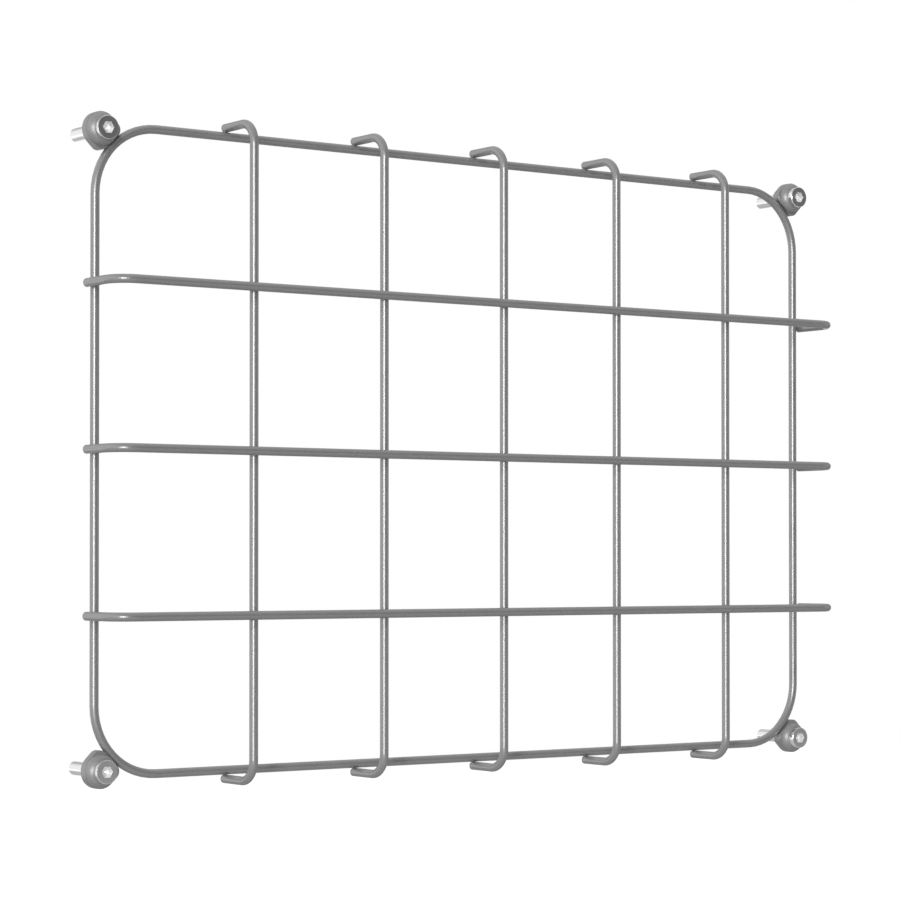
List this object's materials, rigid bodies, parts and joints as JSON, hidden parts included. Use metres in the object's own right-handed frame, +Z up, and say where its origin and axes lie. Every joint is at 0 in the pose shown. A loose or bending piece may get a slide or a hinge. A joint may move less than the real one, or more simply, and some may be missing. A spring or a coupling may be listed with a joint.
{
  "type": "lamp cage guard",
  "caption": "Rectangular wire cage guard for a wall lamp: a rounded ring, upright and cross wires bent over the lens, and a lug with a socket cap screw at each corner.",
  "frame": {"origin": "middle of the pattern of the four fixing screws, on the seat plane where the ring and the lugs lie on the lamp housing", "axes": "+X to the right and +Z up as seen from the front, +Y from the guard into the housing, along the fixing screws; the cage stands out towards -Y"},
  "size_m": [0.3462, 0.0427, 0.2436],
  "materials": {
    "guard_coat": "satin mid-grey coat",
    "screw_steel": "bright zinc-plated"
  },
  "bodies": {
    "root": {"perimeter_ring": "guard_coat", "upright_wire_1": "guard_coat", "upright_wire_2": "guard_coat", "upright_wire_3": "guard_coat", "upright_wire_4": "guard_coat", "upright_wire_5": "guard_coat", "cross_wire_1": "guard_coat", "cross_wire_2": "guard_coat", "cross_wire_3": "guard_coat", "corner_lug_top_right": "guard_coat", "corner_lug_top_left": "guard_coat", "corner_lug_bottom_left": "guard_coat", "corner_lug_bottom_right": "guard_coat", "cap_screw_top_right": "screw_steel", "cap_screw_top_left": "screw_steel", "cap_screw_bottom_left": "screw_steel", "cap_screw_bottom_right": "screw_steel"}
  },
  "joints": []
}
